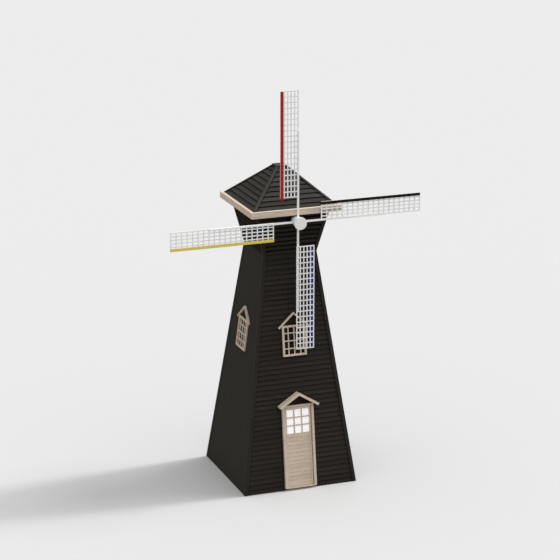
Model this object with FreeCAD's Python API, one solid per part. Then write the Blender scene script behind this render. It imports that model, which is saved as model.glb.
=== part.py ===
# Garden windmill: a square, battered tower with lap boards front and back and smooth side panels,
# a lap-boarded flared cap with a pyramid roof, a surface-mounted door and windows, and a four-sail
# rotor on a horizontal windshaft.
#
# Frame: origin on the ground at the centre of the tower, +Z up, front (door, rotor) towards -Y.
# All dimensions are in millimetres.
import FreeCAD, Part
import math
import os

Vector = FreeCAD.Vector

# ---- driving dimensions: tower, flare and roof ----
BASE_HALF = 446.0          # outer face of the lap boards at the ground
NECK_HALF = 208.6          # the same at the neck
NECK_Z = 1774.0
FLARE_HALF = 283.0         # outer face of the flare boards under the eaves
EAVES_Z = 2096.0
FASCIA_HALF = 349.0
FASCIA_THICK = 23.5
FASCIA_HEIGHT = 45.0
ROOF_TOP_HALF = 34.0
ROOF_TOP_Z = 2400.0
CAP_PLATE_THICK = 8.0

# ---- driving dimensions: boards and frame timbers ----
LAP_EXPOSURE = 37.0        # visible height of one lap board
LAP_THICK = 9.0            # butt thickness of a lap board
LAP_STEP = 7.0             # how far a board steps back at its top edge
SHEATH_THICK = 9.0
SKIRT_Z = 3.0              # the lap boards stop this far above the ground
SHEATH_Z = 2.0
TIMBER = 38.0
RAIL_HEIGHT = 45.0
EAVES_FRAME_HEIGHT = 20.0
GIRT_Z = 880.0
SOFFIT_THICK = 8.0
RAFTER_DROP = 50.0         # hip rafters end this far below the roof top plate
TOP_PLATE_TAPER = 2.0
TRIM_WIDTH = 26.0
TRIM_PROUD = 2.0
ROOF_COURSES = 9
HIP_CAP_WIDTH = 16.0
HIP_CAP_PROUD = 4.0
ANCHOR_X = 300.0           # anchor holes in the front and back base rails
ANCHOR_Y = 403.0
ANCHOR_RADIUS = 5.5

# ---- driving dimensions: rotor ----
SHAFT_Z = 2052.0
STOCK_Y = -373.0           # middle plane of the stocks
STOCK_WIDTH = 13.0
STOCK_THICK = 12.0
STOCK_REACH = 680.0
HUB_FRONT_Y = -430.0
HUB_REAR_Y = -306.0
HUB_FRONT_RADIUS = 47.0
HUB_REAR_RADIUS = 28.0
HUB_CAP_THICK = 6.0        # disc that closes the nut recess
SHAFT_RADIUS = 8.0
SHAFT_CLEARANCE = 0.05
SPIGOT_RADIUS = 3.0        # threaded front end of the shaft, through the stocks
LATTICE_INNER = 183.0
LATTICE_OUTER = 971.0
LATTICE_THICK = 7.0
LATH_WIDTH = 8.0
LATH_PITCH = 26.4
LATH_COUNT = 6
RUNG_COUNT = 20
RUNG_SET_BACK = 1.0
SCREWED_RUNGS = (0, 3, 7, 11)
SCREW_RADIUS = 2.0
SCREW_LENGTH = 15.0
SCREW_HEAD_RADIUS = 3.5
SCREW_HEAD_THICK = 2.0
BOARD_WIDTH = 21.0
BOARD_THICK = 8.0
BOARD_PROUD = 0.7          # the coloured boards' outer edges stand this far past the lattice
# where each coloured board starts and stops, measured out from the shaft
BOARD_SPANS = {"top": (170.0, 968.0), "left": (185.0, 973.0),
               "bottom": (184.0, 970.0), "right": (172.0, 966.0)}
REAR_LATTICE_SHIFT = -2.5  # inner lath centre from the stock's centre line, lattice behind the stock
FRONT_LATTICE_SHIFT = -11.0

# ---- driving dimensions: bearings, collars and nut ----
BLOCK_HALF_WIDTH = 36.0
BLOCK_FRONT = 298.0
BLOCK_BACK = 226.0
BLOCK_BELOW_SHAFT = 24.0
BUSH_RADIUS = 14.0
BUSH_FLANGE_RADIUS = 20.0
BUSH_FLANGE = 4.0
COLLAR_RADIUS = 15.0
COLLAR_LENGTH = 12.0
COLLAR_GAP = 0.5
SHAFT_END = 10.0           # shaft beyond the rear bush
NUT_HALF = 5.0             # half the width across flats
NUT_THICK = 5.0
NUT_RECESS_RADIUS = 9.5
NUT_RECESS_DEPTH = 9.0
SHAFT_TIP_INSET = 3.0      # shaft end behind the hub cap

# ---- driving dimensions: door and windows, along the battered wall ----
DOOR_FRAME_HALF = 124.5
DOOR_JAMB_WIDTH = 18.5
DOOR_FRAME_PROUD = 19.0
DOOR_FRAME_FOOT = 16.0
DOOR_SILL_HEIGHT = 12.0
DOOR_GAP = 2.0
DOOR_LEAF_THICK = 14.0
DOOR_LEAF_FRONT = 10.0     # leaf's front face, proud of the lap boards
DOOR_STILE = 14.0
DOOR_TOP_RAIL = 20.0
DOOR_MID_RAIL_LOW = 405.0
DOOR_MID_RAIL_HEIGHT = 26.0
DOOR_HEADER_HEIGHT = 13.0
DOOR_RIDGE = 747.5
DOOR_EAVE_HALF = 157.0
DOOR_PITCH = 31.7
DOOR_CANOPY_THICK = 19.0
DOOR_CANOPY_DEPTH = 60.0
DOOR_LAP = 29.3
DOOR_LAP_STEP = 2.0
DOOR_STOP = 7.0            # sheathing behind the leaf edge that the closed leaf rests near
DOOR_BOTTOM_RAIL = 20.0
RAIL_SET_BACK = 1.0
PANE_THICK = 3.0
PANE_BACK = 2.0            # from the leaf back to the glazing
MUNTIN_THICK = 7.0
PIVOT_RADIUS = 3.5
PIVOT_DEPTH = 20.0
PIVOT_BITE = 9.0
DOOR_MUNTIN = 8.0
WINDOW_MUNTIN = 8.0
WINDOW_HALF = 93.0
WINDOW_FOOT = 1019.0
WINDOW_BAR = 15.0
WINDOW_PROUD = 13.0
WINDOW_BAR_SET_BACK = 2.0
WINDOW_RIDGE = 1349.0
WINDOW_EAVE_HALF = 124.0
WINDOW_PITCH = 41.3
WINDOW_GABLE_THICK = 12.0
WINDOW_GABLE_DEPTH = 17.0

# ---- worked out ----
BATTER = (BASE_HALF - NECK_HALF) / NECK_Z
BATTER_DEG = math.degrees(math.atan(BATTER))
LAP_DEPTH = LAP_THICK * math.cos(math.atan(BATTER))      # lap boards measured square to the wall
ROOF_FOOT_HALF = FASCIA_HALF - FASCIA_THICK
ROOF_FOOT_Z = EAVES_Z + FASCIA_HEIGHT
ROOF_END_Z = ROOF_TOP_Z - CAP_PLATE_THICK
ROOF_RUN = (ROOF_FOOT_HALF - ROOF_TOP_HALF) / (ROOF_TOP_Z - ROOF_FOOT_Z)
ROOF_FACTOR = math.hypot(1.0, ROOF_RUN)      # horizontal offset of one unit of thickness
SIDES = {"front": 0.0, "right": 90.0, "back": 180.0, "left": -90.0}
SAILS = {"right": 0.0, "top": 90.0, "left": 180.0, "bottom": 270.0}


def tower_half(z):
    return BASE_HALF - BATTER * z


def flare_half(z):
    return NECK_HALF + (FLARE_HALF - NECK_HALF) * (z - NECK_Z) / (EAVES_Z - NECK_Z)


def roof_half(z):
    return ROOF_FOOT_HALF - ROOF_RUN * (z - ROOF_FOOT_Z)


def hexahedron(low, high):
    """Solid between two four-cornered outlines, low and high, listed the same way round."""
    faces = [low, high]
    for i in range(4):
        j = (i + 1) % 4
        faces.append([low[i], low[j], high[j], high[i]])
    made = [Part.Face(Part.makePolygon([Vector(*p) for p in ring + ring[:1]])) for ring in faces]
    solid = Part.Solid(Part.Shell(made))
    if solid.Volume < 0:
        solid.reverse()
    return solid


def turned(shape, degrees):
    copy = shape.copy()
    copy.rotate(Vector(0, 0, 0), Vector(0, 0, 1), degrees)
    return copy


def side_board(side, z0, z1, outer, inner, length=None):
    """Board on one face of a square form.

    outer, inner: half widths at z0 and z1. length: half lengths at z0 and z1, or None for mitred ends.
    """
    rings = []
    for k, z in enumerate((z0, z1)):
        long_out = length[k] if length else outer[k]
        long_in = length[k] if length else inner[k]
        rings.append([(-long_out, -outer[k], z), (long_out, -outer[k], z),
                      (long_in, -inner[k], z), (-long_in, -inner[k], z)])
    return turned(hexahedron(*rings), SIDES[side])


def ring_of_boards(z0, z1, outer, inner):
    return Part.makeCompound([side_board(side, z0, z1, outer, inner) for side in SIDES])


def lap_courses(side, half, levels, thick, step, trim):
    """Lap boards between the given levels, each stepping back towards its top edge."""
    boards = []
    for z0, z1 in zip(levels[:-1], levels[1:]):
        outer = (half(z0), half(z1) - step)
        inner = (half(z0) - thick, half(z1) - thick)
        length = (half(z0) - trim, half(z1) - trim)
        boards.append(side_board(side, z0, z1, outer, inner, length))
    return boards


def corner_solid(z0, z1, half, x_span, y_span):
    """Upright piece in the +X -Y corner: spans are distances inwards from half(z)."""
    rings = []
    for z in (z0, z1):
        h = half(z)
        rings.append([(h - x_span[1], -(h - y_span[0]), z), (h - x_span[0], -(h - y_span[0]), z),
                      (h - x_span[0], -(h - y_span[1]), z), (h - x_span[1], -(h - y_span[1]), z)])
    return hexahedron(*rings)


def four_corners(solids):
    return Part.makeCompound([turned(s, angle) for angle in SIDES.values() for s in solids])


def corner_trims(z0, z1, half, width, depth, proud):
    """Two boards per corner: one laps over the end grain of the other."""
    over = corner_solid(z0, z1, half, (-proud, width), (-proud, depth))
    under = corner_solid(z0, z1, half, (-proud, depth), (depth, width))
    return four_corners([over, under])


def even_levels(z0, z1, count):
    return [z0 + (z1 - z0) * i / count for i in range(count + 1)]


def box(x, y, z):
    return Part.makeBox(x[1] - x[0], y[1] - y[0], z[1] - z[0], Vector(x[0], y[0], z[0]))


def wall_box(u, w, n):
    """Box on the front wall: u across, w up the wall, n outwards from the lap boards' face."""
    return box(u, (-BASE_HALF - n[1], -BASE_HALF - n[0]), w)


def wall_prism(outline, n):
    """Outline of (u, w) points pushed through n."""
    points = [Vector(u, -BASE_HALF - n[1], w) for u, w in outline]
    return Part.Face(Part.makePolygon(points + points[:1])).extrude(Vector(0, n[1] - n[0], 0))


def on_wall(shape, side="front"):
    """Lean a piece back with the wall, then carry it round to its side."""
    copy = shape.copy()
    copy.rotate(Vector(0, -BASE_HALF, 0), Vector(1, 0, 0), -BATTER_DEG)
    return turned(copy, SIDES[side])


def rod(x, z, y0, y1, radius):
    return Part.makeCylinder(radius, y1 - y0, Vector(x, y0, z), Vector(0, 1, 0))


def gable_boards(ridge, eave_half, pitch, thick, depth):
    """Two boards that meet at the ridge, square-cut at the eaves, from the wall outwards."""
    rise = math.tan(math.radians(pitch))
    drop = thick / math.cos(math.radians(pitch))
    eave = ridge - rise * eave_half
    toe_u = eave_half - thick * math.sin(math.radians(pitch))
    toe_w = eave - thick * math.cos(math.radians(pitch))
    pieces = []
    for sign in (-1, 1):
        outline = [(0, ridge), (0, ridge - drop), (sign * toe_u, toe_w), (sign * eave_half, eave)]
        pieces.append(wall_prism(outline, (0, depth)))
    return pieces


def gable_underside(ridge, pitch, thick, u):
    return ridge - thick / math.cos(math.radians(pitch)) - math.tan(math.radians(pitch)) * u


def fused(solids):
    return solids[0].multiFuse(solids[1:]).removeSplitter()


parts = {}

# ---- door opening, used by the wall pieces ----
door_header_top = gable_underside(DOOR_RIDGE, DOOR_PITCH, DOOR_CANOPY_THICK, DOOR_FRAME_HALF)
door_header_low = door_header_top - DOOR_HEADER_HEIGHT
door_leaf_low = DOOR_FRAME_FOOT + DOOR_SILL_HEIGHT + DOOR_GAP
door_leaf_top = door_header_low - DOOR_GAP
door_leaf_half = DOOR_FRAME_HALF - DOOR_JAMB_WIDTH - DOOR_GAP
door_frame_hole = on_wall(wall_box((-DOOR_FRAME_HALF, DOOR_FRAME_HALF),
                                   (-RAIL_HEIGHT, door_header_top), (-LAP_THICK, TIMBER)))
door_walk_half = door_leaf_half - DOOR_STOP
door_walk_top = door_leaf_top - DOOR_STOP

# ---- base frame with anchor holes ----
sheath_inset = LAP_THICK + SHEATH_THICK
rail_outer = tower_half(RAIL_HEIGHT) - sheath_inset
rail_inner = rail_outer - TIMBER
long_rail = box((-rail_outer, rail_outer), (-rail_outer, -rail_inner), (0, RAIL_HEIGHT))
for sign in (-1, 1):
    hole = Part.makeCylinder(ANCHOR_RADIUS, RAIL_HEIGHT, Vector(sign * ANCHOR_X, -ANCHOR_Y, 0))
    long_rail = long_rail.cut(hole)
cross_rail = box((rail_inner, rail_outer), (-rail_inner, rail_inner), (0, RAIL_HEIGHT))
parts["base_frame"] = Part.makeCompound(
    [long_rail, turned(long_rail, 180), cross_rail, turned(cross_rail, 180)])

# ---- upright frame ----
neck_frame_low = NECK_Z - TIMBER
sheath_face = (sheath_inset, sheath_inset + TIMBER)
lower_post = corner_solid(RAIL_HEIGHT, GIRT_Z, tower_half, sheath_face, sheath_face)
upper_post = corner_solid(GIRT_Z + TIMBER, neck_frame_low, tower_half, sheath_face, sheath_face)
flare_strut = corner_solid(NECK_Z, EAVES_Z - EAVES_FRAME_HEIGHT, flare_half, sheath_face, sheath_face)
parts["corner_posts"] = four_corners([lower_post, upper_post, flare_strut])


def timber_ring(z0, z1, half):
    outer = (half(z0) - sheath_inset, half(z1) - sheath_inset)
    return ring_of_boards(z0, z1, outer, (outer[0] - TIMBER, outer[1] - TIMBER))


parts["middle_girts"] = timber_ring(GIRT_Z, GIRT_Z + TIMBER, tower_half)
parts["neck_frame"] = timber_ring(neck_frame_low, NECK_Z, tower_half)

stud_solids = []
for sign in (-1, 1):
    edges = sorted((sign * door_walk_half, sign * (door_walk_half + TIMBER)))
    rings = []
    for z in (RAIL_HEIGHT, GIRT_Z):
        face = tower_half(z) - sheath_inset
        rings.append([(edges[0], -face, z), (edges[1], -face, z),
                      (edges[1], -face + TIMBER, z), (edges[0], -face + TIMBER, z)])
    stud_solids.append(hexahedron(*rings))
parts["door_studs"] = Part.makeCompound(stud_solids)

# ---- tower sheathing ----
sheath_outer = (tower_half(SHEATH_Z) - LAP_THICK, tower_half(NECK_Z) - LAP_THICK)
sheath_inner = (sheath_outer[0] - SHEATH_THICK, sheath_outer[1] - SHEATH_THICK)
for side in ("back", "left", "right"):
    parts["sheathing_" + side] = side_board(side, SHEATH_Z, NECK_Z, sheath_outer, sheath_inner)
front_sheet = side_board("front", SHEATH_Z, NECK_Z, sheath_outer, sheath_inner)
walk_cut = on_wall(wall_box((-door_walk_half, door_walk_half), (-RAIL_HEIGHT, door_walk_top),
                            (-TIMBER, 0)))
above_cut = on_wall(wall_box((-BASE_HALF, BASE_HALF), (door_walk_top, 2 * NECK_Z), (-TIMBER, 0)))
upper_sheet = front_sheet.common(above_cut)
lower_sheet = front_sheet.cut(above_cut).cut(walk_cut)
parts["sheathing_front"] = Part.makeCompound(upper_sheet.Solids + lower_sheet.Solids)

# ---- tower lap boards ----
lap_count = round((NECK_Z - SKIRT_Z) / LAP_EXPOSURE)
tower_levels = even_levels(SKIRT_Z, NECK_Z, lap_count)
for side in ("front", "back"):
    boards = lap_courses(side, tower_half, tower_levels, LAP_THICK, LAP_STEP, TRIM_WIDTH)
    if side == "front":
        cut_boards = [b.cut(door_frame_hole) for b in boards]
        boards = [s for b in cut_boards for s in b.Solids]
    parts["lap_boards_" + side] = Part.makeCompound(boards)

# ---- smooth facing panels on the side walls ----
wall_ends = (SKIRT_Z, NECK_Z)
panel_outer = tuple(tower_half(z) for z in wall_ends)
panel_inner = tuple(tower_half(z) - LAP_THICK for z in wall_ends)
panel_length = tuple(tower_half(z) - TRIM_WIDTH for z in wall_ends)
for side in ("left", "right"):
    parts["facing_panel_" + side] = side_board(side, *wall_ends, panel_outer, panel_inner, panel_length)

# ---- corner boards on the tower and on the flare ----
tower_trims = corner_trims(*wall_ends, tower_half, TRIM_WIDTH, LAP_THICK, TRIM_PROUD)
flare_trims = corner_trims(NECK_Z, EAVES_Z, flare_half, TRIM_WIDTH, LAP_THICK, TRIM_PROUD)
parts["corner_boards"] = Part.makeCompound(tower_trims.Solids + flare_trims.Solids)

# ---- flared cap below the roof ----
eaves_frame_low = EAVES_Z - EAVES_FRAME_HEIGHT
flare_outer = (flare_half(NECK_Z) - LAP_THICK, flare_half(EAVES_Z) - LAP_THICK)
flare_inner = (flare_outer[0] - SHEATH_THICK, flare_outer[1] - SHEATH_THICK)
block_hole = box((-BLOCK_HALF_WIDTH, BLOCK_HALF_WIDTH), (-BLOCK_FRONT, -BLOCK_BACK),
                 (SHAFT_Z - BLOCK_BELOW_SHAFT, eaves_frame_low))
flare_levels = even_levels(NECK_Z, EAVES_Z, round((EAVES_Z - NECK_Z) / LAP_EXPOSURE))
flare_sheets = []
flare_laps = []
for side in SIDES:
    sheet = side_board(side, NECK_Z, EAVES_Z, flare_outer, flare_inner)
    laps = lap_courses(side, flare_half, flare_levels, LAP_THICK, LAP_STEP, TRIM_WIDTH)
    if side in ("front", "back"):
        hole = turned(block_hole, SIDES[side])
        sheet = sheet.cut(hole).Solids[0]
        laps = [s for b in laps for s in b.cut(hole).Solids]
    flare_sheets.append(sheet)
    flare_laps += laps
parts["flare_sheathing"] = Part.makeCompound(flare_sheets)
parts["flare_boards"] = Part.makeCompound(flare_laps)
parts["eaves_frame"] = timber_ring(eaves_frame_low, EAVES_Z, flare_half)

# ---- eaves ----
soffit_top = EAVES_Z + SOFFIT_THICK
soffit_inner = FLARE_HALF - sheath_inset - TIMBER
parts["soffit_boards"] = ring_of_boards(EAVES_Z, soffit_top, (ROOF_FOOT_HALF,) * 2,
                                        (soffit_inner,) * 2)
parts["fascia_boards"] = ring_of_boards(EAVES_Z, ROOF_FOOT_Z, (FASCIA_HALF,) * 2,
                                        (ROOF_FOOT_HALF,) * 2)
parts["roof_plates"] = ring_of_boards(soffit_top, ROOF_FOOT_Z, (ROOF_FOOT_HALF,) * 2,
                                      (ROOF_FOOT_HALF - TIMBER,) * 2)

# ---- pyramid roof ----
roof_lap = LAP_THICK * ROOF_FACTOR
roof_step = LAP_STEP * ROOF_FACTOR
roof_sheath = SHEATH_THICK * ROOF_FACTOR
roof_levels = even_levels(ROOF_FOOT_Z, ROOF_END_Z, ROOF_COURSES)
ends = (ROOF_FOOT_Z, ROOF_END_Z)
parts["roof_sheathing"] = ring_of_boards(*ends, tuple(roof_half(z) - roof_lap for z in ends),
                                         tuple(roof_half(z) - roof_lap - roof_sheath for z in ends))
for side in SIDES:
    parts["roof_boards_" + side] = Part.makeCompound(
        lap_courses(side, roof_half, roof_levels, roof_lap, roof_step, HIP_CAP_WIDTH))
parts["hip_caps"] = corner_trims(*ends, roof_half, HIP_CAP_WIDTH, roof_lap, HIP_CAP_PROUD)
rafter_face = roof_lap + roof_sheath
rafter_top = ROOF_END_Z - RAFTER_DROP
parts["hip_rafters"] = four_corners([corner_solid(ROOF_FOOT_Z, rafter_top, roof_half,
                                                  (rafter_face, rafter_face + TIMBER / 2),
                                                  (rafter_face, rafter_face + TIMBER / 2))])
plate_low = roof_half(ROOF_END_Z) + HIP_CAP_PROUD
plate_high = plate_low - TOP_PLATE_TAPER
parts["roof_top_plate"] = hexahedron(
    [(-plate_low, -plate_low, ROOF_END_Z), (plate_low, -plate_low, ROOF_END_Z),
     (plate_low, plate_low, ROOF_END_Z), (-plate_low, plate_low, ROOF_END_Z)],
    [(-plate_high, -plate_high, ROOF_TOP_Z), (plate_high, -plate_high, ROOF_TOP_Z),
     (plate_high, plate_high, ROOF_TOP_Z), (-plate_high, plate_high, ROOF_TOP_Z)])

# ---- bearings ----
bore_radius = SHAFT_RADIUS + SHAFT_CLEARANCE
block = block_hole.cut(rod(0, SHAFT_Z, -BLOCK_FRONT, -BLOCK_BACK, BUSH_RADIUS))
parts["bearing_blocks"] = Part.makeCompound([block, turned(block, 180)])
bush = rod(0, SHAFT_Z, -BLOCK_FRONT, -BLOCK_BACK, BUSH_RADIUS)
bush = bush.fuse(rod(0, SHAFT_Z, -BLOCK_FRONT - BUSH_FLANGE, -BLOCK_FRONT, BUSH_FLANGE_RADIUS))
bush = bush.cut(rod(0, SHAFT_Z, -BLOCK_FRONT - BUSH_FLANGE, -BLOCK_BACK, bore_radius))
parts["bearing_bushes"] = Part.makeCompound([bush, turned(bush, 180)])

# ---- windshaft, collars and hub ----
hub_face = HUB_FRONT_Y + HUB_CAP_THICK
shaft_front = hub_face + SHAFT_TIP_INSET
shaft_rear = BLOCK_FRONT + BUSH_FLANGE + SHAFT_END
stock_y = (STOCK_Y - STOCK_THICK / 2, STOCK_Y + STOCK_THICK / 2)
stock_half = STOCK_WIDTH / 2
spigot = rod(0, SHAFT_Z, shaft_front, stock_y[1], SPIGOT_RADIUS)
parts["windshaft"] = fused([rod(0, SHAFT_Z, stock_y[1], shaft_rear, SHAFT_RADIUS), spigot])
collars = []
for face in (-BLOCK_BACK + COLLAR_GAP, BLOCK_BACK - COLLAR_GAP - COLLAR_LENGTH):
    ring = rod(0, SHAFT_Z, face, face + COLLAR_LENGTH, COLLAR_RADIUS)
    collars.append(ring.cut(rod(0, SHAFT_Z, face, face + COLLAR_LENGTH, SHAFT_RADIUS)))
parts["shaft_collars"] = Part.makeCompound(collars)

hub = Part.makeCone(HUB_FRONT_RADIUS, HUB_REAR_RADIUS, HUB_REAR_Y - hub_face,
                    Vector(0, hub_face, SHAFT_Z), Vector(0, 1, 0))
hub = hub.cut(rod(0, SHAFT_Z, stock_y[1], HUB_REAR_Y, SHAFT_RADIUS))
hub = hub.cut(rod(0, SHAFT_Z, hub_face, stock_y[1], SPIGOT_RADIUS))
hub = hub.cut(rod(0, SHAFT_Z, hub_face, hub_face + NUT_RECESS_DEPTH, NUT_RECESS_RADIUS))
reach = HUB_FRONT_RADIUS
hub = hub.cut(box((-stock_half, stock_half), stock_y, (SHAFT_Z - reach, SHAFT_Z + reach)))
hub = hub.cut(box((-reach, reach), stock_y, (SHAFT_Z - stock_half, SHAFT_Z + stock_half)))
parts["hub"] = hub
parts["hub_cap"] = rod(0, SHAFT_Z, HUB_FRONT_Y, hub_face, HUB_FRONT_RADIUS)

nut_corner = NUT_HALF / math.cos(math.radians(30))
nut_y = hub_face + NUT_RECESS_DEPTH
nut_points = [Vector(nut_corner * math.cos(math.radians(60 * k)), nut_y - NUT_THICK,
                     SHAFT_Z + nut_corner * math.sin(math.radians(60 * k))) for k in range(7)]
nut = Part.Face(Part.makePolygon(nut_points)).extrude(Vector(0, NUT_THICK, 0))
parts["shaft_nut"] = nut.cut(rod(0, SHAFT_Z, nut_y - NUT_THICK, nut_y, SPIGOT_RADIUS))

# ---- stocks, half-lapped where they cross ----
shaft_bore = rod(0, SHAFT_Z, *stock_y, SPIGOT_RADIUS)
upright = box((-stock_half, stock_half), stock_y, (SHAFT_Z - STOCK_REACH, SHAFT_Z + STOCK_REACH))
level = box((-STOCK_REACH, STOCK_REACH), stock_y, (SHAFT_Z - stock_half, SHAFT_Z + stock_half))
crossing = (SHAFT_Z - stock_half, SHAFT_Z + stock_half)
front_half = box((-stock_half, stock_half), (stock_y[0], STOCK_Y), crossing)
rear_half = box((-stock_half, stock_half), (STOCK_Y, stock_y[1]), crossing)
upright = upright.cut(rear_half).cut(shaft_bore)
level = level.cut(front_half).cut(shaft_bore)

# ---- sails ----
# A sail is drawn along +X with its lattice on the +Z side, then turned about the shaft.
# The bottom sail's lattice lies in front of its stock, with its board behind it.
rung_pitch = (LATTICE_OUTER - LATTICE_INNER - LATH_WIDTH) / (RUNG_COUNT - 1)
lattice_span = LATH_PITCH * (LATH_COUNT - 1)


def about_shaft(shape, degrees):
    copy = shape.copy()
    copy.rotate(Vector(0, 0, SHAFT_Z), Vector(0, -1, 0), degrees)
    return copy


def sail_box(r, t, y):
    return box(r, y, (SHAFT_Z + t[0], SHAFT_Z + t[1]))


def lattice(y, shift):
    """Crossed laths and rungs, halved into each other; the rungs are a little thinner."""
    half = LATH_WIDTH / 2
    bars = []
    for i in range(LATH_COUNT):
        t = shift + LATH_PITCH * i
        bars.append(sail_box((LATTICE_INNER, LATTICE_OUTER), (t - half, t + half), y))
    for i in range(RUNG_COUNT):
        r = LATTICE_INNER + rung_pitch * i
        rung_t = (shift - half, shift + lattice_span + half)
        rung_y = (y[0] + RUNG_SET_BACK, y[1] - RUNG_SET_BACK)
        bars.append(sail_box((r, r + LATH_WIDTH), rung_t, rung_y))
    return fused(bars)


screws = []
for sail, angle in SAILS.items():
    in_front = sail == "bottom"
    if in_front:
        lattice_y = (stock_y[0] - LATTICE_THICK, stock_y[0])
        board_y = (lattice_y[1], lattice_y[1] + BOARD_THICK)
        inner_shift = FRONT_LATTICE_SHIFT
        screw_z = SHAFT_Z
    else:
        lattice_y = (stock_y[1], stock_y[1] + LATTICE_THICK)
        board_y = (lattice_y[0] - BOARD_THICK, lattice_y[0])
        inner_shift = REAR_LATTICE_SHIFT
        screw_z = SHAFT_Z + REAR_LATTICE_SHIFT
    board_edge = inner_shift + lattice_span + LATH_WIDTH / 2 + BOARD_PROUD
    edge_board = sail_box(BOARD_SPANS[sail], (board_edge - BOARD_WIDTH, board_edge), board_y)
    grid = lattice(lattice_y, inner_shift)
    for rung in SCREWED_RUNGS:
        r = LATTICE_INNER + rung_pitch * rung + LATH_WIDTH / 2
        if in_front:
            seat = lattice_y[0] + RUNG_SET_BACK
            shank = rod(r, screw_z, seat, seat + SCREW_LENGTH, SCREW_RADIUS)
            head = rod(r, screw_z, seat - SCREW_HEAD_THICK, seat, SCREW_HEAD_RADIUS)
        else:
            seat = lattice_y[1]
            shank = rod(r, screw_z, seat - SCREW_LENGTH, seat, SCREW_RADIUS)
            head = rod(r, screw_z, seat, seat + SCREW_HEAD_THICK, SCREW_HEAD_RADIUS)
        grid = grid.cut(shank)
        shank_in_place = about_shaft(shank, angle)
        if sail in ("top", "bottom"):
            upright = upright.cut(shank_in_place)
        else:
            level = level.cut(shank_in_place)
        screws.append(about_shaft(shank.fuse(head), angle))
    parts["lattice_" + sail] = about_shaft(grid, angle)
    parts["edge_board_" + sail] = about_shaft(edge_board, angle)
parts["stock_upright"] = upright
parts["stock_level"] = level
parts["sail_screws"] = Part.makeCompound(screws)

# ---- door frame ----
jamb_inner = DOOR_FRAME_HALF - DOOR_JAMB_WIDTH
frame_n = (-LAP_DEPTH, DOOR_FRAME_PROUD)
jamb_w = (DOOR_FRAME_FOOT, door_header_low)
jambs = [wall_box(sorted((s * jamb_inner, s * DOOR_FRAME_HALF)), jamb_w, frame_n) for s in (-1, 1)]
parts["door_jambs"] = on_wall(Part.makeCompound(jambs))
header = wall_box((-DOOR_FRAME_HALF, DOOR_FRAME_HALF), (door_header_low, door_header_top), frame_n)
sill_w = (DOOR_FRAME_FOOT, DOOR_FRAME_FOOT + DOOR_SILL_HEIGHT)
sill = wall_box((-jamb_inner, jamb_inner), sill_w, frame_n)
parts["door_canopy"] = on_wall(Part.makeCompound(gable_boards(
    DOOR_RIDGE, DOOR_EAVE_HALF, DOOR_PITCH, DOOR_CANOPY_THICK, DOOR_CANOPY_DEPTH)))

# ---- door leaf: turns on two pivot pins in the right-hand stile ----
leaf_back = DOOR_LEAF_FRONT - DOOR_LEAF_THICK
leaf_n = (leaf_back, DOOR_LEAF_FRONT)
leaf_mid = (leaf_back + DOOR_LEAF_FRONT) / 2
heel_radius = DOOR_LEAF_THICK / 2
pivot_u = door_leaf_half - heel_radius
stile_inner = door_leaf_half - DOOR_STILE
left_stile = wall_box((-door_leaf_half, -stile_inner), (door_leaf_low, door_leaf_top), leaf_n)
right_stile = wall_box((stile_inner, pivot_u), (door_leaf_low, door_leaf_top), leaf_n)
heel = Part.makeCylinder(heel_radius, door_leaf_top - door_leaf_low,
                         Vector(pivot_u, -BASE_HALF - leaf_mid, door_leaf_low))
right_stile = fused([right_stile, heel])


def pivot_rod(w0, w1, radius):
    return Part.makeCylinder(radius, w1 - w0, Vector(pivot_u, -BASE_HALF - leaf_mid, w0))


pivot_spans = [(door_leaf_low - DOOR_GAP - PIVOT_BITE, door_leaf_low + PIVOT_DEPTH),
               (door_leaf_top - PIVOT_DEPTH, door_leaf_top + DOOR_GAP + PIVOT_BITE)]
pins = []
for w0, w1 in pivot_spans:
    pins.append(pivot_rod(w0, w1, PIVOT_RADIUS))
    right_stile = right_stile.cut(pivot_rod(w0, w1, PIVOT_RADIUS + SHAFT_CLEARANCE))
    header = header.cut(pivot_rod(w0, w1, PIVOT_RADIUS))
    sill = sill.cut(pivot_rod(w0, w1, PIVOT_RADIUS))
parts["door_header"] = on_wall(header)
parts["door_sill"] = on_wall(sill)
parts["door_pivot_pins"] = on_wall(Part.makeCompound(pins))
parts["door_stiles"] = on_wall(Part.makeCompound([left_stile, right_stile]))

top_rail_low = door_leaf_top - DOOR_TOP_RAIL
mid_rail_top = DOOR_MID_RAIL_LOW + DOOR_MID_RAIL_HEIGHT
bottom_rail_top = door_leaf_low + DOOR_BOTTOM_RAIL
rail_n = (leaf_back + RAIL_SET_BACK, DOOR_LEAF_FRONT - RAIL_SET_BACK)
rail_spans = ((door_leaf_low, bottom_rail_top), (DOOR_MID_RAIL_LOW, mid_rail_top),
              (top_rail_low, door_leaf_top))
rails = [wall_box((-stile_inner, stile_inner), span, rail_n) for span in rail_spans]
parts["door_rails"] = on_wall(Part.makeCompound(rails))

pane_n = (leaf_back + PANE_BACK, leaf_back + PANE_BACK + PANE_THICK)
muntin_n = (pane_n[1], pane_n[1] + MUNTIN_THICK)
parts["door_glazing"] = on_wall(wall_box((-stile_inner, stile_inner), (mid_rail_top, top_rail_low), pane_n))
muntins = []
half_muntin = DOOR_MUNTIN / 2
for k in (1, 2):
    u = -stile_inner + (2 * stile_inner) * k / 3
    w = mid_rail_top + (top_rail_low - mid_rail_top) * k / 3
    muntins.append(wall_box((u - half_muntin, u + half_muntin), (mid_rail_top, top_rail_low), muntin_n))
    muntins.append(wall_box((-stile_inner, stile_inner), (w - half_muntin, w + half_muntin), muntin_n))
parts["door_muntins"] = on_wall(fused(muntins))

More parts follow.
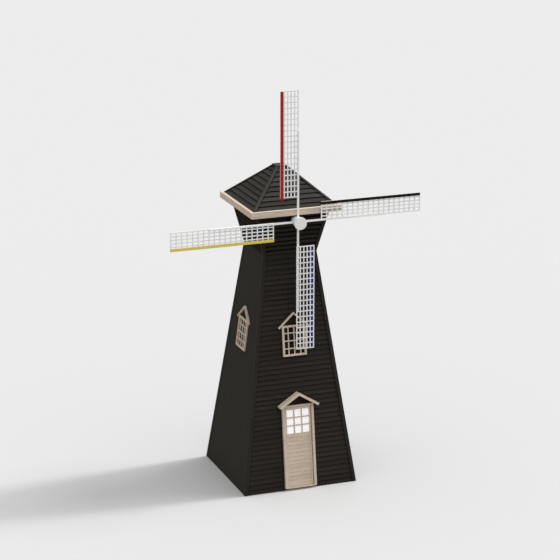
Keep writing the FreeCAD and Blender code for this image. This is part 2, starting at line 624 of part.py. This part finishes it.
door_lap_count = round((DOOR_MID_RAIL_LOW - bottom_rail_top) / DOOR_LAP)
door_lap_levels = even_levels(bottom_rail_top, DOOR_MID_RAIL_LOW, door_lap_count)
door_laps = []
lap_butt = -BASE_HALF - (DOOR_LEAF_FRONT - 2 * RAIL_SET_BACK)
lap_back = -BASE_HALF - (leaf_back + PANE_BACK)
for w0, w1 in zip(door_lap_levels[:-1], door_lap_levels[1:]):
    rings = []
    for w, butt in ((w0, lap_butt), (w1, lap_butt + DOOR_LAP_STEP)):
        rings.append([(-stile_inner, butt, w), (stile_inner, butt, w),
                      (stile_inner, lap_back, w), (-stile_inner, lap_back, w)])
    door_laps.append(hexahedron(*rings))
parts["door_lap_boards"] = on_wall(Part.makeCompound(door_laps))

# ---- windows: open lattice frames on the lap boards, each with a small gable ----
window_top = gable_underside(WINDOW_RIDGE, WINDOW_PITCH, WINDOW_GABLE_THICK, WINDOW_HALF)
window_n = (0, WINDOW_PROUD)
window_bars = [
    wall_box((-WINDOW_HALF, -WINDOW_HALF + WINDOW_BAR), (WINDOW_FOOT, window_top), window_n),
    wall_box((WINDOW_HALF - WINDOW_BAR, WINDOW_HALF), (WINDOW_FOOT, window_top), window_n),
    wall_box((-WINDOW_HALF, WINDOW_HALF), (WINDOW_FOOT, WINDOW_FOOT + WINDOW_BAR), window_n),
    wall_box((-WINDOW_HALF, WINDOW_HALF), (window_top - WINDOW_BAR, window_top), window_n)]
bar_n = (WINDOW_BAR_SET_BACK, WINDOW_PROUD - WINDOW_BAR_SET_BACK)
half_bar = WINDOW_MUNTIN / 2
for k in (1, 2, 3):
    u = -WINDOW_HALF + 2 * WINDOW_HALF * k / 4
    w = WINDOW_FOOT + (window_top - WINDOW_FOOT) * k / 4
    window_bars.append(wall_box((u - half_bar, u + half_bar), (WINDOW_FOOT, window_top), bar_n))
    window_bars.append(wall_box((-WINDOW_HALF, WINDOW_HALF), (w - half_bar, w + half_bar), bar_n))
window_frame = fused(window_bars)
window_gable = Part.makeCompound(gable_boards(
    WINDOW_RIDGE, WINDOW_EAVE_HALF, WINDOW_PITCH, WINDOW_GABLE_THICK, WINDOW_GABLE_DEPTH))
window_gables = []
for side in ("front", "left", "right"):
    parts["window_frame_" + side] = on_wall(window_frame, side)
    window_gables += on_wall(window_gable, side).Solids
parts["window_gables"] = Part.makeCompound(window_gables)

# ---- write one file per node ----
os.makedirs("parts", exist_ok=True)
for name, shape in parts.items():
    if not shape.isValid():
        raise ValueError("not a valid shape: " + name)
    shape.exportStep(os.path.join("parts", name + ".step"))
print(len(parts), "nodes", sum(len(s.Solids) for s in parts.values()), "solids")
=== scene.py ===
import math

import bpy
from mathutils import Matrix, Vector


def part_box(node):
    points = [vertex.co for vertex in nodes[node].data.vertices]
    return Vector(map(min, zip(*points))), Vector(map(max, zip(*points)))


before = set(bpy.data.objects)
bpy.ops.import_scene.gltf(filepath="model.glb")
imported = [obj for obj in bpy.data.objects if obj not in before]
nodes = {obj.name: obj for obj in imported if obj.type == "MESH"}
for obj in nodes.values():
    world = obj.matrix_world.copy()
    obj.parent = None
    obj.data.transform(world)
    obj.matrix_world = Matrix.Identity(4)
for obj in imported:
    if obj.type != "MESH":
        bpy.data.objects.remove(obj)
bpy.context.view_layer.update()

# Lengths are in metres. The front faces -Y, the windmill's left side faces -X.

# ---- camera: azimuth, elevation and distance round a target on the tower's axis ----
CAMERA_AZIMUTH = math.radians(-20.495)
CAMERA_ELEVATION = math.radians(16.454)
CAMERA_DISTANCE = 16.278
CAMERA_LENS = 139.0
TARGET_HEIGHT = 1.2
TARGET_RISE = 0.2960                     # the view's middle is this far above the target
CAMERA_FAR = 400.0

# ---- light ----
SKY_RADIANCE = 0.97
LOW_RADIANCE = 0.40                      # light from below the horizon
HORIZON_BLEND = 0.05                     # half the height of the change between the two
SKY_SIDE = (-0.05, -0.50, 0.0)           # the studio is brightest in this direction
SKY_CONTRAST = 0.33
FLOOR_ALBEDO = 0.52
FLOOR_HALF = 120.0
# name: azimuth (90 is the +X side, 180 the back), elevation, softness, all in degrees, and strength
SUNS = {"key": (90.0, 27.0, 9.0, 2.3), "fill": (90.0, 53.0, 20.0, 1.26)}


UP = Vector((0, 0, 1))


def aim(obj, back):
    """Turn an object so that its local +Z points along back."""
    z = back.normalized()
    x = UP.cross(z).normalized()
    y = z.cross(x)
    obj.matrix_world = Matrix.Translation(obj.location) @ Matrix((x, y, z)).transposed().to_4x4()


def direction(azimuth, elevation):
    """Direction from the object towards a camera or light, from angles in radians."""
    flat = math.cos(elevation)
    return Vector((math.sin(azimuth) * flat, -math.cos(azimuth) * flat, math.sin(elevation)))


def make_camera():
    data = bpy.data.cameras.new("camera")
    data.lens = CAMERA_LENS
    data.sensor_width = 36.0
    data.clip_end = CAMERA_FAR
    camera = bpy.data.objects.new("camera", data)
    bpy.context.scene.collection.objects.link(camera)
    back = direction(CAMERA_AZIMUTH, CAMERA_ELEVATION)
    view_up = back.cross(UP.cross(back).normalized())
    camera.location = UP * TARGET_HEIGHT + view_up * TARGET_RISE + back * CAMERA_DISTANCE
    aim(camera, back)
    bpy.context.scene.camera = camera


def make_light():
    """A soft studio that is darker below the horizon and brighter towards one side, and two soft suns."""
    world = bpy.data.worlds.new("studio")
    world.use_nodes = True
    tree = world.node_tree
    background = tree.nodes["Background"]
    place = tree.nodes.new("ShaderNodeTexCoord")
    height = tree.nodes.new("ShaderNodeSeparateXYZ")
    ramp = tree.nodes.new("ShaderNodeMapRange")
    ramp.inputs["From Min"].default_value = -HORIZON_BLEND
    ramp.inputs["From Max"].default_value = HORIZON_BLEND
    ramp.inputs["To Min"].default_value = LOW_RADIANCE
    ramp.inputs["To Max"].default_value = SKY_RADIANCE
    tree.links.new(place.outputs["Generated"], height.inputs[0])
    tree.links.new(height.outputs["Z"], ramp.inputs["Value"])
    side = tree.nodes.new("ShaderNodeVectorMath")
    side.operation = "DOT_PRODUCT"
    side.inputs[1].default_value = SKY_SIDE
    tree.links.new(place.outputs["Generated"], side.inputs[0])
    lean = tree.nodes.new("ShaderNodeMapRange")
    lean.inputs["From Min"].default_value = -1.0
    lean.inputs["To Min"].default_value = 1.0 - SKY_CONTRAST
    lean.inputs["To Max"].default_value = 1.0 + SKY_CONTRAST
    tree.links.new(side.outputs["Value"], lean.inputs["Value"])
    product = tree.nodes.new("ShaderNodeMath")
    product.operation = "MULTIPLY"
    tree.links.new(ramp.outputs[0], product.inputs[0])
    tree.links.new(lean.outputs[0], product.inputs[1])
    tree.links.new(product.outputs[0], background.inputs["Color"])
    bpy.context.scene.world = world
    for name, (azimuth, elevation, softness, strength) in SUNS.items():
        sun = bpy.data.lights.new(name, "SUN")
        sun.energy = strength
        sun.angle = math.radians(softness)
        lamp = bpy.data.objects.new(name, sun)
        bpy.context.scene.collection.objects.link(lamp)
        aim(lamp, direction(math.radians(azimuth), math.radians(elevation)))


# ---- node helpers ----
COLOUR_A, COLOUR_B, COLOUR_RESULT = 6, 7, 2      # sockets of the Mix node when it mixes colours
LEVEL_TOLERANCE = 0.0004                         # keeps a board's lower edge in its own course
EDGE_SAMPLES = 4
CREVICE_SAMPLES = 6


class Graph:
    """Short calls for building one material's nodes."""

    def __init__(self, name, courses=None):
        self.courses = courses
        self.material = bpy.data.materials.new(name)
        self.material.use_nodes = True
        self.tree = self.material.node_tree
        self.shader = self.tree.nodes["Principled BSDF"]

    def put(self, kind, inputs=None, **settings):
        """Add a node, with its settings and its inputs' values or links."""
        node = self.tree.nodes.new(kind)
        for key, value in settings.items():
            setattr(node, key, value)
        for key, value in (inputs or {}).items():
            self.feed(node.inputs[key], value)
        return node

    def feed(self, socket, value):
        """Link a socket to a socket, or set it to a value."""
        if isinstance(value, bpy.types.NodeSocket):
            self.tree.links.new(value, socket)
        else:
            socket.default_value = value

    def math(self, operation, a, b=0.0):
        node = self.put("ShaderNodeMath", operation=operation)
        self.feed(node.inputs[0], a)
        self.feed(node.inputs[1], b)
        return node.outputs[0]

    def vector(self, operation, a, b=(0, 0, 0)):
        node = self.put("ShaderNodeVectorMath", operation=operation)
        self.feed(node.inputs[0], a)
        self.feed(node.inputs[1], b)
        return node.outputs[0]

    def noise(self, coordinates, scale, detail=3.0, roughness=0.55):
        settings = {"Vector": coordinates, "Scale": scale, "Detail": detail, "Roughness": roughness}
        return self.put("ShaderNodeTexNoise", settings).outputs["Fac"]

    def ramp(self, value, low, high, out_low=0.0, out_high=1.0):
        settings = {"Value": value, "From Min": low, "From Max": high,
                    "To Min": out_low, "To Max": out_high}
        return self.put("ShaderNodeMapRange", settings).outputs[0]

    def blend(self, factor, a, b, kind="MIX"):
        """Mix two colours or vectors."""
        node = self.put("ShaderNodeMix", data_type="RGBA", blend_type=kind)
        self.feed(node.inputs["Factor"], factor)
        self.feed(node.inputs[COLOUR_A], a)
        self.feed(node.inputs[COLOUR_B], b)
        return node.outputs[COLOUR_RESULT]

    def place(self):
        return self.put("ShaderNodeTexCoord").outputs["Object"]

    def board_number(self):
        """Random number from 0 to 1: one per course of lap boards, or one per separate board."""
        if not self.courses:
            return self.put("ShaderNodeAttribute", attribute_name="board").outputs["Fac"]
        course = self.math("FLOOR", self.course_height())
        side = self.math("MULTIPLY", self.facing_side(), 0.5)
        return self.put("ShaderNodeTexWhiteNoise", {"W": self.math("ADD", course, side)},
                        noise_dimensions="1D").outputs["Value"]

    def course_height(self):
        """Height counted in courses of lap boards: whole numbers are at the boards' lower edges."""
        first, pitch = self.courses
        height = self.put("ShaderNodeSeparateXYZ", {"Vector": self.place()}).outputs["Z"]
        return self.math("DIVIDE", self.math("SUBTRACT", height, first - LEVEL_TOLERANCE), pitch)

    def lap_joint(self, share):
        """1 in the strip where one lap board tucks under the next, 0 on its open face; painted shade and
        dirt go there.
        """
        part = self.math("FRACT", self.course_height())
        return self.ramp(part, 1.0 - share, 1.0 - 0.6 * share)

    def facing_up(self):
        """1 on faces that look up, 0 on upright ones."""
        normal = self.put("ShaderNodeNewGeometry").outputs["True Normal"]
        return self.ramp(self.put("ShaderNodeSeparateXYZ", {"Vector": normal}).outputs["Z"], 0.4, 0.9)

    def darken(self, base, factor):
        """Multiply a colour by a number."""
        shade = self.put("ShaderNodeCombineColor", {"Red": factor, "Green": factor, "Blue": factor})
        return self.blend(1.0, base, shade.outputs[0], "MULTIPLY")

    def edge_mask(self, radius):
        """1 on sharp edges, 0 on flat faces."""
        soft = self.put("ShaderNodeBevel", {"Radius": radius}, samples=EDGE_SAMPLES).outputs["Normal"]
        true = self.put("ShaderNodeNewGeometry").outputs["True Normal"]
        dot = self.put("ShaderNodeVectorMath", operation="DOT_PRODUCT")
        self.feed(dot.inputs[0], soft)
        self.feed(dot.inputs[1], true)
        return self.ramp(dot.outputs["Value"], 0.99, 0.80)

    def crevice(self, distance):
        """Ambient occlusion, used for painted shade: 1 in the open, towards 0 in corners and under laps.
        """
        node = self.put("ShaderNodeAmbientOcclusion", {"Distance": distance}, samples=CREVICE_SAMPLES)
        return node.outputs["AO"]

    def facing_side(self):
        """1 where the surface faces along X, 0 where it faces along Y."""
        normal = self.put("ShaderNodeNewGeometry").outputs["True Normal"]
        parts = self.put("ShaderNodeSeparateXYZ", {"Vector": self.vector("ABSOLUTE", normal)})
        return self.math("GREATER_THAN", parts.outputs["X"], parts.outputs["Y"])

    def bump(self, height, distance, strength):
        node = self.put("ShaderNodeBump", {"Height": height, "Distance": distance, "Strength": strength})
        self.feed(self.shader.inputs["Normal"], node.outputs["Normal"])


def grey(value):
    return (value, value, value, 1.0)


def rgb(r, g, b):
    return (r, g, b, 1.0)


GRAIN_STRETCH = 26.0       # grain is this many times longer than it is wide
BOARD_SHIFT = 37.0         # the grain pattern's largest step from one board to the next
SHELTER_REACH = 0.30       # how far away a roof or flare still shades a wall
WORN_EDGE = 0.0022         # width of the wear along edges


def grain_coordinates(graph, along):
    """Coordinates squeezed along the grain and shifted by a random step for each board.

    along is "x", "y" or "z", or "level" for boards that run level round the tower."""
    place = graph.place()
    if along == "level":
        squeeze = {axis: tuple(1.0 / GRAIN_STRETCH if i == k else 1.0 for i in range(3))
                   for k, axis in enumerate("xyz")}
        stretched = graph.blend(graph.facing_side(), graph.vector("MULTIPLY", place, squeeze["x"]),
                                graph.vector("MULTIPLY", place, squeeze["y"]))
    else:
        scale = tuple(1.0 / GRAIN_STRETCH if axis == along else 1.0 for axis in "xyz")
        stretched = graph.vector("MULTIPLY", place, scale)
    shift = graph.put("ShaderNodeCombineXYZ")
    step = graph.math("MULTIPLY", graph.board_number(), BOARD_SHIFT)
    for axis in "XYZ":
        graph.feed(shift.inputs[axis], step)
    return graph.vector("ADD", stretched, shift.outputs[0]), place


def painted_wood(name, colour, along, roughness, specular, grain, variety, weather, worn, wear, grime,
                 relief=0.0006, crevices=0.0, shelter=0.0, reach=0.016, courses=None, joint=0.0,
                 joint_share=0.2, bleached=None):
    """Paint or stain over wood: grain showing through, boards that differ a little, weathering
    patches in the grime colour, and wear on the edges in the worn colour.

    crevices paints shade into corners within reach, and shelter paints shade on what lies under the roof
    or flare. courses is the first height and the pitch of lap boards, and joint darkens the joint_share
    of each course that tucks under the next, with painted shade and dirt. bleached is the painted lighter
    colour of faces that look up."""
    graph = Graph(name, courses)
    lines, place = grain_coordinates(graph, along)
    fine = graph.noise(lines, 420.0, 4.0, 0.6)
    broad = graph.noise(lines, 90.0, 3.0)
    patches = graph.noise(place, 9.0, 4.0, 0.6)
    mixed = graph.math("ADD", graph.math("MULTIPLY", fine, 0.6), graph.math("MULTIPLY", broad, 0.4))
    streaks = graph.ramp(mixed, 0.34, 0.66, 1.0 - grain, 1.0 + grain * 0.4)
    tone = graph.ramp(graph.board_number(), 0.0, 1.0, 1.0 - variety, 1.0 + variety)
    level = graph.math("MULTIPLY", streaks, tone)
    base = graph.darken(colour, level)
    dirt = graph.math("MULTIPLY", graph.ramp(patches, 0.48, 0.72), weather)
    base = graph.blend(dirt, base, grime)
    # painted shade: corners, laps and what lies under the roof or flare are darkened by ambient occlusion
    if crevices:
        shut = graph.ramp(graph.crevice(reach), 0.50, 0.98, 1.0 - crevices, 1.0)
        under = graph.ramp(graph.crevice(SHELTER_REACH), 0.30, 0.85, 1.0 - shelter, 1.0)
        shut = graph.math("MULTIPLY", shut, under)
        base = graph.darken(base, shut)
    # painted shade and dirt in the strip of each course that tucks under the next
    if joint:
        base = graph.darken(base, graph.ramp(graph.lap_joint(joint_share), 0.0, 1.0, 1.0, 1.0 - joint))
    # painted highlight: faces that look up take a lighter colour, as if lit from above
    if bleached:
        base = graph.blend(graph.facing_up(), base, bleached)
    broken = graph.ramp(graph.noise(place, 55.0), 0.40, 0.62)
    edge = graph.math("MULTIPLY", graph.edge_mask(WORN_EDGE), broken)
    base = graph.blend(graph.math("MULTIPLY", edge, wear), base, worn)
    graph.feed(graph.shader.inputs["Base Color"], base)
    rough = graph.ramp(graph.math("ADD", fine, graph.math("MULTIPLY", patches, 0.6)), 0.5, 1.1,
                       roughness - 0.08, roughness + 0.12)
    graph.feed(graph.shader.inputs["Roughness"], rough)
    graph.shader.inputs["Specular IOR Level"].default_value = specular
    graph.bump(graph.math("ADD", fine, broad), relief, 0.6)
    return graph.material


def bare_wood(name, light, dark, along):
    """Planed softwood with dark growth lines."""
    graph = Graph(name)
    lines, place = grain_coordinates(graph, along)
    rings = graph.noise(lines, 110.0, 2.0)
    fine = graph.noise(lines, 600.0, 4.0)
    base = graph.blend(graph.ramp(rings, 0.42, 0.60), light, dark)
    base = graph.blend(graph.ramp(fine, 0.3, 0.7, 0.0, 0.22), base, dark)
    graph.feed(graph.shader.inputs["Base Color"], base)
    graph.feed(graph.shader.inputs["Roughness"], graph.ramp(fine, 0.3, 0.7, 0.55, 0.78))
    graph.bump(fine, 0.0004, 0.5)
    return graph.material


def metal(name, colour, roughness, stain):
    """Plated or cast metal with fine scratches and dull stains."""
    graph = Graph(name)
    place = graph.place()
    scratches = graph.noise(graph.vector("MULTIPLY", place, (1.0, 0.04, 1.0)), 900.0, 3.0)
    stains = graph.noise(place, 70.0, 4.0)
    base = graph.blend(graph.ramp(stains, 0.5, 0.7, 0.0, 0.6), colour, stain)
    graph.feed(graph.shader.inputs["Base Color"], base)
    rough = graph.ramp(graph.math("ADD", scratches, stains), 0.7, 1.3, roughness - 0.08, roughness + 0.2)
    graph.feed(graph.shader.inputs["Roughness"], rough)
    graph.shader.inputs["Metallic"].default_value = 1.0
    graph.bump(scratches, 0.0001, 0.4)
    return graph.material


def opal_sheet(name):
    """White translucent glazing: glossy, faintly mottled, with duller dusty patches."""
    graph = Graph(name)
    place = graph.place()
    mottle = graph.noise(place, 26.0, 3.0)
    dust = graph.noise(place, 160.0, 4.0)
    base = graph.blend(graph.ramp(mottle, 0.35, 0.7, 0.0, 0.5), grey(0.97), grey(0.90))
    graph.feed(graph.shader.inputs["Base Color"], base)
    graph.feed(graph.shader.inputs["Roughness"], graph.ramp(dust, 0.35, 0.7, 0.08, 0.24))
    # painted glow: the glazing gives off a little light of its own
    graph.shader.inputs["Emission Color"].default_value = grey(1.0)
    graph.shader.inputs["Emission Strength"].default_value = 0.19
    graph.bump(mottle, 0.0004, 0.2)
    return graph.material


BLACK = rgb(0.0200, 0.0160, 0.0122)
SIDE_BLACK = rgb(0.0264, 0.0242, 0.0200)
FLARE = rgb(0.0290, 0.0250, 0.0200)
ROOF = rgb(0.0465, 0.0438, 0.0384)
BEIGE = rgb(0.560, 0.456, 0.360)
WHITE = rgb(0.81, 0.81, 0.80)
RAW_WOOD = rgb(0.40, 0.30, 0.19)
WOOD_RINGS = rgb(0.22, 0.14, 0.075)
BLACK_WORN = rgb(0.06, 0.052, 0.042)
BEIGE_WORN = rgb(0.30, 0.23, 0.16)


def black_boards(name, along, colour=BLACK, **changes):
    values = dict(roughness=0.62, specular=0.12, grain=0.32, variety=0.14, weather=0.10, worn=BLACK_WORN,
                  wear=0.5, grime=rgb(0.045, 0.038, 0.030), crevices=0.9, shelter=0.5)
    values.update(changes)
    return painted_wood(name, colour, along, **values)


def beige_boards(name, along, **changes):
    values = dict(roughness=0.6, specular=0.3, grain=0.24, variety=0.07, weather=0.35, worn=BEIGE_WORN,
                  wear=0.55, grime=rgb(0.36, 0.32, 0.25))
    values.update(changes)
    return painted_wood(name, BEIGE, along, **values)


def gloss_paint(name, colour, worn=rgb(0.35, 0.30, 0.24), specular=0.15):
    faded = tuple(0.8 * c + 0.015 for c in colour[:3]) + (1.0,)
    return painted_wood(name, colour, "level", roughness=0.42, specular=specular, grain=0.16, variety=0.04,
                        weather=0.35, worn=worn, wear=0.22, grime=faded, relief=0.0004)


def white_paint(name):
    return painted_wood(name, WHITE, "level", roughness=0.45, specular=0.4, grain=0.10, variety=0.03,
                        weather=0.14, worn=rgb(0.5, 0.46, 0.4), wear=0.3, grime=rgb(0.52, 0.50, 0.45),
                        relief=0.0003)


# how many courses of lap boards each of these nodes has
COURSED = {"lap_boards_front": 48, "flare_boards": 9, "roof_boards_front": 9, "door_lap_boards": 12}


def courses(node):
    """Height of the first course of lap boards, and the pitch."""
    low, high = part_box(node)
    return low[2], (high[2] - low[2]) / COURSED[node]


MATERIALS = {
    "lap_black": black_boards("lap_black", "level", joint=0.15, courses=courses("lap_boards_front")),
    "flare_black": black_boards("flare_black", "level", FLARE, specular=0.0, shelter=0.15, joint=0.80,
                                joint_share=0.42, courses=courses("flare_boards")),
    "hip_black": black_boards("hip_black", "z", ROOF, specular=0.02, grain=0.25),
    "door_laps": beige_boards("door_laps", "level", variety=0.05, courses=courses("door_lap_boards")),
    "panel_black": black_boards("panel_black", "z", SIDE_BLACK, grain=0.16, wear=0.4, specular=0.04),
    "trim_black": black_boards("trim_black", "z"),
    "roof_paint": black_boards("roof_paint", "level", ROOF, specular=0.02, grain=0.25, crevices=1.0,
                               shelter=0.3, reach=0.034, joint=0.8, joint_share=0.34,
                               courses=courses("roof_boards_front")),
    "inner_black": black_boards("inner_black", "level", specular=0.05),
    "timber": bare_wood("timber", RAW_WOOD, WOOD_RINGS, "z"),
    "level_timber": bare_wood("level_timber", RAW_WOOD, WOOD_RINGS, "level"),
    "beige_level": beige_boards("beige_level", "level"),
    "beige_upright": beige_boards("beige_upright", "z"),
    "fascia": beige_boards("fascia", "level", bleached=rgb(0.68, 0.585, 0.475)),
    "muntin": beige_boards("muntin", "z", grain=0.3),
    "white": white_paint("white"),
    "opal": opal_sheet("opal"),
    "red": gloss_paint("red", rgb(0.405, 0.0115, 0.0105), rgb(0.20, 0.02, 0.015)),
    "yellow": gloss_paint("yellow", rgb(0.70, 0.565, 0.12)),
    "blue": gloss_paint("blue", rgb(0.003, 0.005, 0.40), rgb(0.04, 0.04, 0.2), specular=0.03),
    "gloss_black": gloss_paint("gloss_black", rgb(0.004, 0.004, 0.0035), rgb(0.02, 0.018, 0.015)),
    "zinc": metal("zinc", grey(0.62), 0.32, rgb(0.34, 0.33, 0.31)),
    "bronze": metal("bronze", rgb(0.55, 0.36, 0.16), 0.3, rgb(0.20, 0.13, 0.07)),
}

# Which material each node takes: the first name that the node's name starts with.
NODE_MATERIALS = [
    ("lap_boards", "lap_black"), ("facing_panel", "panel_black"), ("corner_boards", "trim_black"),
    ("flare_boards", "flare_black"), ("roof_boards", "roof_paint"), ("hip_caps", "hip_black"),
    ("roof_top_plate", "hip_black"), ("sheathing", "inner_black"), ("flare_sheathing", "inner_black"),
    ("roof_sheathing", "inner_black"), ("soffit_boards", "inner_black"), ("bearing_blocks", "inner_black"),
    ("base_frame", "level_timber"), ("middle_girts", "level_timber"), ("neck_frame", "level_timber"),
    ("eaves_frame", "level_timber"), ("roof_plates", "level_timber"), ("corner_posts", "timber"),
    ("door_studs", "timber"), ("hip_rafters", "timber"), ("fascia_boards", "fascia"),
    ("door_canopy", "beige_level"), ("door_header", "beige_level"), ("door_sill", "beige_level"),
    ("door_rails", "beige_level"), ("door_lap_boards", "door_laps"), ("door_jambs", "beige_upright"),
    ("door_stiles", "beige_upright"), ("door_muntins", "muntin"), ("door_glazing", "opal"),
    ("door_pivot_pins", "zinc"), ("window_frame", "beige_upright"), ("window_gables", "beige_level"),
    ("bearing_bushes", "bronze"), ("windshaft", "zinc"), ("shaft_collars", "zinc"), ("shaft_nut", "zinc"),
    ("sail_screws", "zinc"), ("hub", "white"), ("stock_", "white"), ("lattice_", "white"),
    ("edge_board_top", "red"), ("edge_board_left", "yellow"), ("edge_board_bottom", "blue"),
    ("edge_board_right", "gloss_black"),
]


def number_the_boards():
    """Modifier that welds a node's faces and gives each separate board its own random number."""
    group = bpy.data.node_groups.new("number_the_boards", "GeometryNodeTree")
    group.interface.new_socket("Geometry", in_out="INPUT", socket_type="NodeSocketGeometry")
    group.interface.new_socket("Geometry", in_out="OUTPUT", socket_type="NodeSocketGeometry")
    start = group.nodes.new("NodeGroupInput")
    weld = group.nodes.new("GeometryNodeMergeByDistance")
    weld.inputs["Distance"].default_value = WELD
    island = group.nodes.new("GeometryNodeInputMeshIsland")
    random = group.nodes.new("FunctionNodeRandomValue")
    random.data_type = "FLOAT"
    store = group.nodes.new("GeometryNodeStoreNamedAttribute")
    store.data_type = "FLOAT"
    store.domain = "POINT"
    store.inputs["Name"].default_value = "board"
    end = group.nodes.new("NodeGroupOutput")
    group.links.new(start.outputs[0], weld.inputs["Geometry"])
    group.links.new(weld.outputs[0], store.inputs["Geometry"])
    group.links.new(island.outputs["Island Index"], random.inputs["ID"])
    value = next(s for s in random.outputs if s.enabled and s.type == "VALUE")
    target = next(s for s in store.inputs if s.enabled and s.name == "Value")
    group.links.new(value, target)
    group.links.new(store.outputs[0], end.inputs[0])
    return group


WELD = 0.00002
LAPPED = ("lap_boards", "flare_boards", "roof_boards", "door_lap_boards")     # left without a bevel
BEVEL_WIDTHS = {"lattice_": 0.0007, "shaft": 0.0005, "sail_screws": 0.0005, "door_muntins": 0.0008,
                "hub": 0.0015, "bearing_bushes": 0.0004, "door_glazing": 0.0003}
BEVEL_DEFAULT = 0.0012
BEVEL_ANGLE = math.radians(28.0)         # edges sharper than this are softened


def dress(node, obj, group):
    """Give a node its material and, unless it is lap boards, softened edges."""
    material = next(m for prefix, m in NODE_MATERIALS if node.startswith(prefix))
    obj.data.materials.clear()
    obj.data.materials.append(MATERIALS[material])
    if node.startswith(LAPPED):
        return
    numbered = obj.modifiers.new("boards", "NODES")
    numbered.node_group = group
    bevel = obj.modifiers.new("soft_edges", "BEVEL")
    widths = [width for prefix, width in BEVEL_WIDTHS.items() if node.startswith(prefix)]
    bevel.width = widths[0] if widths else BEVEL_DEFAULT
    bevel.segments = 2
    bevel.limit_method = "ANGLE"
    bevel.angle_limit = BEVEL_ANGLE
    bevel.harden_normals = False


def make_floor():
    """A plain pale floor, out of the object's own light and reflections."""
    data = bpy.data.meshes.new("floor")
    corners = [(x * FLOOR_HALF, y * FLOOR_HALF, 0.0) for x, y in ((-1, -1), (1, -1), (1, 1), (-1, 1))]
    data.from_pydata(corners, [], [(0, 1, 2, 3)])
    floor = bpy.data.objects.new("floor", data)
    bpy.context.scene.collection.objects.link(floor)
    graph = Graph("floor")
    graph.shader.inputs["Base Color"].default_value = grey(FLOOR_ALBEDO)
    graph.shader.inputs["Roughness"].default_value = 0.9
    graph.shader.inputs["Specular IOR Level"].default_value = 0.0
    data.materials.append(graph.material)
    floor.visible_diffuse = False
    floor.visible_glossy = False


make_camera()
make_light()
make_floor()
boards = number_the_boards()
for node, obj in nodes.items():
    dress(node, obj, boards)

bpy.context.scene.view_settings.view_transform = "Standard"
